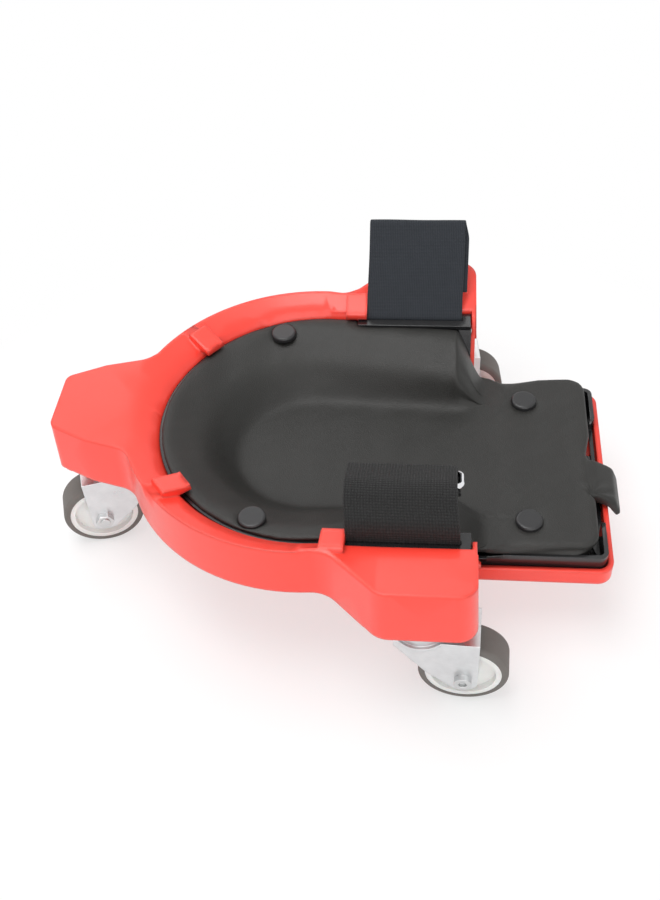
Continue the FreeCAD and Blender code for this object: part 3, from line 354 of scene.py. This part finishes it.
def grid_faces(rows, columns):
    """Quads of a grid whose points run along the columns first."""
    index = np.arange(rows * columns).reshape(rows, columns)
    quads = np.stack([index[:-1, :-1], index[:-1, 1:], index[1:, 1:], index[1:, :-1]], axis=-1)
    return quads.reshape(-1, 4)


def ripple(points, length, seed):
    """Soft unevenness of about -1 to 1: the mean of six sine waves in seeded directions.  A drawn
    direction is about 1.7 long, which is divided out, and 1.6 brings the mean back up."""
    draw = np.random.default_rng(seed)
    waves = draw.normal(size=(6, 3)) * 2 * math.pi / length / 1.7
    phases = draw.uniform(0, 2 * math.pi, 6)
    return np.sin(points @ waves.T + phases).mean(axis=1) * 1.6


def ease(value, low, high):
    """0 below low, 1 above high, and the cubic 3t^2 - 2t^3 between them."""
    share = np.clip((value - low) / (high - low), 0, 1)
    return share * share * (3 - 2 * share)


# ---- foam pad ----

SADDLE_RUN = (0.078, 0.0975)       # start and end along x of the foam behind the knee part
SADDLE_SPAN = (0.046, 0.0865)      # inner and outer edge, off the middle
SADDLE_TOP = (0.0885, 0.0985)      # height at the inner edge, and the most that it climbs to
SADDLE_CLIMB = 0.47                # rise per run across, as the dish's slope
SADDLE_TAPER = 4.4                 # share of its reach lost per metre of x
SADDLE_FOOT = (0.0665, 0.0648)     # furthest out, and height, of its underside
FOAM_TAIL = 0.0702                 # height of the tail's top
WELL_LEAN = 0.443                  # how far the well's wall leans in per metre down
KNEE_DRAWN = 0.0042                # the knee end, forwards
TAIL_SLID = (0.0042, 0.0034)       # the tail, back and aside
TONGUE_OLD = (-0.026, 0.012)       # the solid's tongue across, and the tongue as it lies
TONGUE_NEW = (-0.0255, 0.0030)
TONGUE_BLEND = 0.008               # beside the tongue, over which the narrowing fades
CREASE = (-0.0455, 0.083, 0.0010)  # the crease's y at an x, and its width
PUCKER = (0.1580, -0.0200)         # middle of the puckers at the tongue
PUCKER_FAN = (0.1530, -0.0250)     # the point that their rays leave
CUP_LEVELS = 10                    # steps of the smoothing weight in the knee's dish


def saddle(side):
    """Foam behind one end of the knee part: its top climbs outwards with the dish's slope to a
    level crest and tapers towards the tail, over a flat underside."""
    along, offset = np.meshgrid(np.linspace(*SADDLE_RUN, 5), np.linspace(*SADDLE_SPAN, 8))
    height = np.minimum(SADDLE_TOP[1], SADDLE_TOP[0] + (offset - SADDLE_SPAN[0]) * SADDLE_CLIMB)
    reach = side * offset * (1 - (along - SADDLE_RUN[0]) * SADDLE_TAPER)
    upper = np.stack([along, reach, height], axis=-1)
    lower = upper.copy()
    lower[..., 1] = side * np.minimum(offset, SADDLE_FOOT[0])
    lower[..., 2] = SADDLE_FOOT[1]
    rows, columns = along.shape
    faces = grid_faces(rows, columns)
    count = rows * columns
    index = np.arange(count).reshape(rows, columns)
    rim = np.concatenate([index[0, :-1], index[:-1, -1], index[-1, :0:-1], index[:0:-1, 0]])
    following = np.roll(rim, -1)
    walls = np.stack([following, rim, rim + count, following + count], axis=-1)
    points = np.concatenate([upper.reshape(-1, 3), lower.reshape(-1, 3)])
    return points, np.concatenate([faces, faces[:, ::-1] + count, walls]).tolist()


def add_solid(work, points, faces):
    """Adds a closed shell to a bmesh and turns its faces outwards."""
    corners = [work.verts.new(point) for point in points]
    added = [work.faces.new([corners[index] for index in face]) for face in faces]
    bmesh.ops.recalc_face_normals(work, faces=added)


def soften(piece, rounds, group=""):
    """Evens the mesh by moving each point towards its neighbours' mean, again and again."""
    even = piece.modifiers.new("Round", "SMOOTH")
    even.factor = 0.5
    even.iterations = rounds
    even.vertex_group = group
    apply_modifiers(piece)


def seat_foam(points):
    """The foam as it lies: its shoulders rolled down to the tail, its knee part drawn in, its tail
    slid back and aside, and its tongue narrowed.  Each move is a distance times shares that ease
    from 0 to 1 over the stretches of x, y or z where it sets in and fades."""
    x, y, z = points.T
    sunk = np.maximum(z - FOAM_TAIL, 0) * ease(x, 0.0745, 0.0970)
    side = np.sign(y) * ease(np.abs(y), 0.050, 0.065) * sunk * WELL_LEAN
    knee = ease(z, 0.070, 0.080) * ease(x, 0.068, 0.082)
    tail = ease(x, 0.100, 0.140) * (1 - ease(x, 0.156, 0.166))
    above = ease(z, 0.0632, 0.0662)
    tongue = ease(x, 0.1400, 0.1530)
    narrow = (y - TONGUE_OLD[0]) / (TONGUE_OLD[1] - TONGUE_OLD[0])
    beside = TONGUE_NEW[0] + narrow * (TONGUE_NEW[1] - TONGUE_NEW[0])
    within = ease(y, TONGUE_OLD[0] - TONGUE_BLEND, TONGUE_OLD[0])
    within = within * (1 - ease(y, TONGUE_OLD[1], TONGUE_OLD[1] + TONGUE_BLEND))
    own = 1 - tongue * within
    back = x - KNEE_DRAWN * knee + TAIL_SLID[0] * tail * above * own
    aside = y - side + TAIL_SLID[1] * above * tail * own + tongue * within * (beside - y)
    return np.stack([back, aside, z - sunk], axis=-1)


def foam_marks(points):
    """Rise of the foam's skin: slow swell, less one crease behind the near saddle, a bell across
    a slanting line, plus puckers at the tongue, rays under a bell."""
    x, y, z = points.T
    swell = 0.35 * MM * ripple(points, 0.045, 3) + 0.10 * MM * ripple(points, 0.012, 4)
    crease = np.exp(-((y - CREASE[0] + 0.05 * (x - CREASE[1])) / CREASE[2]) ** 2)
    crease = crease * ease(x, 0.080, 0.086) * (1 - ease(x, 0.108, 0.118))
    spread = np.hypot((x - PUCKER[0]) / 0.009, (y - PUCKER[1]) / 0.007)
    rays = np.sin(np.arctan2(y - PUCKER_FAN[1], x - PUCKER_FAN[0]) * 9)
    star = np.exp(-spread ** 2) * rays
    return ease(z, 0.052, 0.066) * (swell - 0.5 * MM * crease + 0.8 * MM * star)


def soft_pad():
    """The foam pad: the solid's skin with its saddles, remeshed fine and evened to foam's roundness."""
    work = bmesh.new()
    work.from_mesh(merged_copy("knee_pad"))
    for side in (-1, 1):
        add_solid(work, *saddle(side))
    mesh = bpy.data.meshes.new("foam_pad")
    work.to_mesh(mesh)
    work.free()
    piece = show("foam_pad", mesh, FOAM)
    remesh = piece.modifiers.new("Even", "REMESH")
    remesh.mode = "VOXEL"
    remesh.voxel_size = 1.3 * MM
    apply_modifiers(piece)
    soften(piece, 14)
    points = points_of(piece.data)
    knee = np.hypot(np.minimum(points[:, 0] + 0.012, 0), points[:, 1])
    soft = ease(points[:, 2], 0.066, 0.069) * (1 - ease(knee, 0.078, 0.086))
    soft = soft * (1 - ease(points[:, 0], 0.100, 0.125))
    group = piece.vertex_groups.new(name="Cup")
    for level in range(1, CUP_LEVELS + 1):
        chosen = np.flatnonzero(np.round(soft * CUP_LEVELS) == level)
        group.add(chosen.tolist(), level / CUP_LEVELS, "REPLACE")
    soften(piece, 110, "Cup")
    points = seat_foam(points_of(piece.data))
    points[:, 2] += foam_marks(points)
    piece.data.vertices.foreach_set("co", points.ravel())
    piece.data.update()
    piece.data.shade_smooth()
    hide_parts("knee_pad")


# ---- base and tray ----

def prism(outline, low, high, turn=0.0, centre=(0.0, 0.0)):
    """A closed solid: an outline of (run, height) points swept across from low to high, then
    turned about Z by degrees and moved to its centre.  Gives its points and faces."""
    outline = np.array(outline, float)
    count = len(outline)
    across = np.repeat([low, high], count)
    run, height = np.tile(outline, (2, 1)).T
    cosine, sine = math.cos(math.radians(turn)), math.sin(math.radians(turn))
    points = np.stack([centre[0] + run * cosine - across * sine,
                       centre[1] + run * sine + across * cosine, height], axis=-1)
    index = np.arange(count)
    following = np.roll(index, -1)
    walls = np.stack([index, following, following + count, index + count], axis=-1)
    return points, walls.tolist() + [index.tolist(), (index[::-1] + count).tolist()]


def solid_mesh(name, parts):
    """One mesh of several prisms."""
    work = bmesh.new()
    for points, faces in parts:
        add_solid(work, points, faces)
    mesh = bpy.data.meshes.new(name)
    work.to_mesh(mesh)
    work.free()
    return mesh


def carved(name, node, finish, cuts, joined=()):
    """A copy of a node with some prisms cut away and others joined on, shaded flat on its flats:
    an edge is sharp past 24 degrees, and the rest takes normals weighted by area."""
    piece = show(name, merged_copy(node), finish)
    tools = []
    for operation, parts in (("DIFFERENCE", cuts), ("UNION", joined)):
        if parts:
            tool = bpy.data.objects.new(name + operation, solid_mesh(name + operation, parts))
            bpy.context.scene.collection.objects.link(tool)
            cutter = piece.modifiers.new(operation, "BOOLEAN")
            cutter.operation = operation
            cutter.object = tool
            cutter.solver = "EXACT"
            cutter.use_self = True
            tools.append(tool)
    apply_modifiers(piece)
    for tool in tools:
        bpy.data.objects.remove(tool, do_unlink=True)
    piece.data.shade_smooth()
    piece.data.set_sharp_from_angle(angle=math.radians(24))
    even = piece.modifiers.new("Even", "WEIGHTED_NORMAL")
    even.keep_sharp = True
    even.weight = 100
    apply_modifiers(piece)
    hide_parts(node)


# Each hook's place along x and its heading in degrees, and a hook's section as (reach, height).
HOOK_SPOTS = ((-0.0075, 141), (-0.0075, -141), (0.010, 90), (0.010, -90))
HOOK_HALF_WIDTH = 0.0065
HOOK_SECTION = [(0.0868, 0.1023), (0.0868, 0.1043), (0.0878, 0.1051), (0.0990, 0.1092), (0.1030, 0.1104),
                (0.1040, 0.1088), (0.1040, 0.1040), (0.0960, 0.1023)]

# Sections cut away: the solid's hook tips, and the walls of the well and the tray behind the knee.
TIP_HALF_WIDTH = 0.012
TIP_CUT = [(0.070, 0.1020), (0.070, 0.112), (0.0868, 0.112), (0.0868, 0.1020)]
WELL_CUT = [(0.0851, 0.0700), (0.0851, 0.1200), (0.0950, 0.1200), (0.0950, 0.0600), (0.0900, 0.0600)]
TRAY_CUT = [(0.0825, 0.0642), (0.0825, 0.1200), (0.0950, 0.1200), (0.0950, 0.0642)]
WALL_SIDES = ((-0.100, -0.060), (0.060, 0.100))

BELOW_RIBS = 0.0690      # lower than any rib end
SKIRT_FOOT = 0.0764
# Start and end along x, then across, of the rib ends that would hang below the skirt.
RIB_ENDS = [(0.000, 0.095, -0.140, -0.1275), (0.000, 0.095, 0.1275, 0.140), (0.0802, 0.095, -0.1270, -0.090),
            (0.0802, 0.095, 0.090, 0.1270), (-0.170, -0.1565, -0.030, 0.030), (-0.155, -0.105, 0.0255, 0.045),
            (-0.155, -0.105, -0.045, -0.0255)]


def base_and_tray():
    """The moulded base with its hooks drawn as sloping tabs, and the tray cut back behind the knee."""
    tips = [prism(TIP_CUT, -TIP_HALF_WIDTH, TIP_HALF_WIDTH, turn, (along, 0))
            for along, turn in HOOK_SPOTS]
    tabs = [prism(HOOK_SECTION, -HOOK_HALF_WIDTH, HOOK_HALF_WIDTH, turn, (along, 0))
            for along, turn in HOOK_SPOTS]
    ribs = [prism([(start, BELOW_RIBS), (start, SKIRT_FOOT), (end, SKIRT_FOOT), (end, BELOW_RIBS)],
                  *across) for start, end, *across in RIB_ENDS]
    ends = [prism(WELL_CUT, *across) for across in WALL_SIDES]
    carved("moulded_base", "base_shell", RED, tips + ends + ribs, tabs)
    carved("moulded_tray", "knee_tray", BLACK, [prism(TRAY_CUT, *across) for across in WALL_SIDES])


# ---- straps ----

STRAP_EDGES = (0.0165, 0.0765)     # along x
STRAP_WIDTH = STRAP_EDGES[1] - STRAP_EDGES[0]
SLOT = 0.0900                      # the flange's slot, off the middle
FLANGE_TOP = 0.1010
SLOT_DEPTH = 0.0072                # how far below the flange's top a strap starts


def rounded_route(points, radii, spacing):
    """Points at an even spacing along straight runs joined by tangent arcs, with the distance
    covered at each; an arc has fifteen points before the spacing is evened."""
    corners = [np.array(point, float) for point in points]
    runs, start = [], corners[0]
    for before, corner, after, radius in zip(corners, corners[1:], corners[2:], radii):
        back = (before - corner) / np.linalg.norm(before - corner)
        ahead = (after - corner) / np.linalg.norm(after - corner)
        half = math.acos(np.clip(back @ ahead, -1, 1)) / 2
        first = corner + back * radius / math.tan(half)
        last = corner + ahead * radius / math.tan(half)
        middle = (back + ahead) / np.linalg.norm(back + ahead)
        centre = corner + middle * radius / math.sin(half)
        turn = np.linspace(-1, 1, 15)[:, None] * (math.pi / 2 - half)
        side = (last - first) / np.linalg.norm(last - first)
        arc = centre + radius * (np.cos(turn) * -middle + np.sin(turn) * side)
        runs += [start[None], arc]
        start = arc[-1]
    line = np.concatenate(runs + [corners[-1][None]])
    line = line[np.concatenate([[True], np.linalg.norm(np.diff(line, axis=0), axis=1) > 1e-7])]
    length = np.concatenate([[0], np.cumsum(np.linalg.norm(np.diff(line, axis=0), axis=1))])
    even = np.linspace(0, length[-1], int(round(length[-1] / spacing)) + 1)
    return np.stack([np.interp(even, length, line[:, axis]) for axis in (0, 1)], axis=-1), even


def band(name, side, points, radii, finish, thick, spacing, shape):
    """A strap: x runs across its width, and (distance from the middle plane, height) follow the route.
    shape(u, v, length) gives the shift along x and the rise off the surface of each point."""
    low, high = STRAP_EDGES
    route, length = rounded_route(points, radii, spacing)
    tangent = np.gradient(route, axis=0)
    tangent /= np.linalg.norm(tangent, axis=1)[:, None]
    square = np.stack([-tangent[:, 1], tangent[:, 0]], axis=-1)
    across = np.linspace(low, high, int(round((high - low) / spacing)) + 1)
    u, v = np.meshgrid(across - low, length)
    shift, rise = shape(u, v, length[-1])
    plan = route[:, None, :] + square[:, None, :] * rise[..., None]
    place = np.stack([across[None, :] + shift, side * plan[..., 0], plan[..., 1]], axis=-1)
    rows, columns = u.shape
    mesh = bpy.data.meshes.new(name)
    mesh.from_pydata(place.reshape(-1, 3).tolist(), [], grid_faces(rows, columns).tolist())
    corner = np.empty(len(mesh.loops), dtype=int)
    mesh.loops.foreach_get("vertex_index", corner)
    flat = np.stack([u.ravel(), v.ravel()], axis=-1)[corner]
    mesh.uv_layers.new(name="Weave").data.foreach_set("uv", flat.ravel())
    piece = show(name, mesh, finish)
    solid = piece.modifiers.new("Thick", "SOLIDIFY")
    solid.thickness = thick
    solid.offset = 0.0
    edge = piece.modifiers.new("Edge", "BEVEL")
    edge.width = thick * 0.3
    edge.segments = 2
    edge.limit_method = "ANGLE"
    edge.angle_limit = math.radians(50)
    apply_modifiers(piece)
    piece.data.shade_smooth()
    return piece, length[-1]


def slope(degrees):
    """Unit steps along a slope and square to it."""
    turn = math.radians(degrees)
    return np.array([math.cos(turn), math.sin(turn)]), np.array([-math.sin(turn), math.cos(turn)])


def strap_ripple(u, v, length, seed):
    """The same soft unevenness over a strap's own u and v."""
    flat = np.stack([u.ravel(), v.ravel(), 0 * u.ravel()], axis=-1)
    return ripple(flat, length, seed).reshape(u.shape)


def near_strap():
    """The hook strap: up from its slot, over a round crest and back round the wire ring.  Its
    skin is a waffle of two crossed sines, plain and a little lower along both selvedges, and its
    middle swings a little to one side."""
    along, square = slope(22)
    layer = 0.0030                         # from the ring's middle to the middle of the strap
    fold = 0.021                           # how far the layers run back from the ring
    bar = np.array([0.0465, 0.1072])       # the ring's bar: off the middle, and height
    pitch = 0.0021
    points = [(SLOT, FLANGE_TOP - SLOT_DEPTH), (SLOT, 0.111),
              bar + square * layer + along * (fold + layer),
              bar + square * layer - along * layer, bar - square * layer - along * layer,
              bar - square * layer + along * fold]

    def shape(u, v, length):
        crest = np.sin(np.clip(v / length, 0, 1) * math.pi)
        waffle = np.sin(u * 2 * math.pi / pitch) * np.sin(v * 2 * math.pi / pitch)
        selvedge = ease(np.minimum(u, STRAP_WIDTH - u), 0.0, 0.0022)
        lift = 0.35 * MM * strap_ripple(u, v, 0.030, 7) * ease(v, 0.012, 0.03)
        aside = -0.0022 * crest * ease(v, 0.008, 0.03)
        return aside, lift + 0.13 * MM * waffle * selvedge - 0.10 * MM * (1 - selvedge)

    piece, length = band("hook_strap", -1, points, (0.007, 0.020, layer * 0.98, layer * 0.98),
                         HOOK_WEB, thick=0.0020, spacing=0.00052, shape=shape)
    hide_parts("strap_left")


def far_strap():
    """The elastic strap: it leans out from its slot and folds back behind itself, with sine ribs
    across it and the folded layer set a little aside."""
    along, square = slope(46)
    layer = 0.00176                        # half the distance between the two layers' middles
    root = np.array([SLOT, FLANGE_TOP + 0.0003])
    crest = root + along * 0.061
    behind = crest - square * 2 * layer
    points = [(SLOT, FLANGE_TOP - SLOT_DEPTH), root, crest, behind, behind - along * 0.044]

    def shape(u, v, length):
        free = ease(v, 0.012, 0.05)
        lift = 0.45 * MM * strap_ripple(u, v, 0.050, 11) * free
        rib = 0.05 * MM * np.sin(v * 2 * math.pi / 0.0024)
        aside = 0.0006 * free * np.sin(v / length * math.pi) + 0.0028 * ease(v, 0.066, 0.082)
        return aside, lift + rib

    piece, length = band("elastic_strap", 1, points, (0.004, layer * 0.98, layer * 0.98), LOOP_WEB,
                         thick=0.0019, spacing=0.0006, shape=shape)
    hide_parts("strap_right")


base_and_tray()
soft_pad()
near_strap()
far_strap()


# ---- floor, light and camera ----

SHADOW_GROUND = 0.035     # square of the distance from the middle where the floor starts to whiten
LAMP_TARGET = (0, 0, 0.06)


def floor():
    """A pale floor that rises behind into a wall: height grows as the square past a line.  Where
    the camera or a mirror sees it, a share of its colour is plain white: 0.58 beside the part,
    where its shadow stays, and 1 away from it."""
    across, along = np.meshgrid(np.linspace(-4, 4, 9), np.linspace(-2.5, 5, 61), indexing="xy")
    height = 0.9 * np.clip(along - 2.0, 0, None) ** 2
    points = np.stack([across, along, height], axis=-1).reshape(-1, 3)
    rows, columns = along.shape
    mesh = bpy.data.meshes.new("floor")
    mesh.from_pydata(points.tolist(), [], grid_faces(rows, columns).tolist())
    mesh.shade_smooth()
    piece = bpy.data.objects.new("floor", mesh)
    bpy.context.scene.collection.objects.link(piece)
    paper = Finish("PalePaper", Specular_IOR_Level=0.2)
    tone = paper.noise(3, 2)
    paper.surface(paper.blend(tone, rgb(0.93, 0.93, 0.93), rgb(0.96, 0.96, 0.96)), 0.75)
    glow = paper.node("ShaderNodeEmission", None, {"Color": rgb(1, 1, 1), "Strength": 1.0})
    seen = paper.node("ShaderNodeLightPath", output="Is Camera Ray")
    seen = seen.maximum(paper.node("ShaderNodeLightPath", output="Is Glossy Ray"))
    where = paper.place()
    x, y = paper.axis("X", where), paper.axis("Y", where)
    away = (x * x + y * y - SHADOW_GROUND) * 14.0
    share = seen * (away.clamped() * 0.42 + 0.58)
    plain = Value(paper, paper.shader.outputs[0])
    mix = paper.node("ShaderNodeMixShader", None, {0: share, 1: plain, 2: glow})
    paper.give(paper.tree.nodes["Material Output"].inputs["Surface"], mix)
    mesh.materials.append(paper.material)


def lamp(name, energy, size, place):
    """A white rectangle of light that faces the part."""
    light = bpy.data.lights.new(name, "AREA")
    light.energy = energy
    light.shape = "RECTANGLE"
    light.size, light.size_y = size
    item = bpy.data.objects.new(name, light)
    aim = (Vector(LAMP_TARGET) - Vector(place)).normalized()
    item.matrix_world = Matrix.Translation(place) @ aim.to_track_quat("-Z", "Y").to_matrix().to_4x4()
    bpy.context.scene.collection.objects.link(item)


def world():
    """Even surroundings that light at 0.55, and are white where the camera or a mirror sees them."""
    surroundings = bpy.data.worlds.new("Surroundings")
    surroundings.use_nodes = True
    bpy.context.scene.world = surroundings
    tree = surroundings.node_tree
    back = tree.nodes["Background"]
    back.inputs["Color"].default_value = rgb(1, 1, 1)
    path = tree.nodes.new("ShaderNodeLightPath")
    plain = tree.nodes.new("ShaderNodeMath")
    plain.operation = "MULTIPLY_ADD"
    seen = tree.nodes.new("ShaderNodeMath")
    seen.operation = "MAXIMUM"
    tree.links.new(path.outputs["Is Camera Ray"], seen.inputs[0])
    tree.links.new(path.outputs["Is Glossy Ray"], seen.inputs[1])
    tree.links.new(seen.outputs[0], plain.inputs[0])
    plain.inputs[1].default_value = 0.45
    plain.inputs[2].default_value = 0.55
    tree.links.new(plain.outputs[0], back.inputs["Strength"])


def camera():
    """The view: its axes and its stand in the part's own frame."""
    lens = bpy.data.cameras.new("Camera")
    lens.sensor_fit = "VERTICAL"
    lens.sensor_height = 36.0
    lens.lens = 44.003
    lens.clip_start = 0.01
    item = bpy.data.objects.new("Camera", lens)
    right = (0.99491285, 0.08583988, -0.05272513)
    down = (0.02646641, -0.7277218, -0.68536159)
    ahead = (-0.09720058, 0.68047961, -0.72629164)
    stand = (0.063306, -0.449646, 0.553030)
    turn = Matrix((Vector(right), -Vector(down), -Vector(ahead))).transposed()
    item.matrix_world = Matrix.Translation(stand) @ turn.to_4x4()
    bpy.context.scene.collection.objects.link(item)
    bpy.context.scene.camera = item


floor()
world()
lamp("Key", 11.0, (1.0, 0.8), (-0.25, -0.05, 1.35))
lamp("Fill", 8.0, (1.4, 0.9), (0.4, -1.5, 0.75))
lamp("Back", 3.0, (1.4, 0.5), (-0.5, 1.2, 1.0))
camera()
bpy.context.scene.view_settings.view_transform = "Standard"
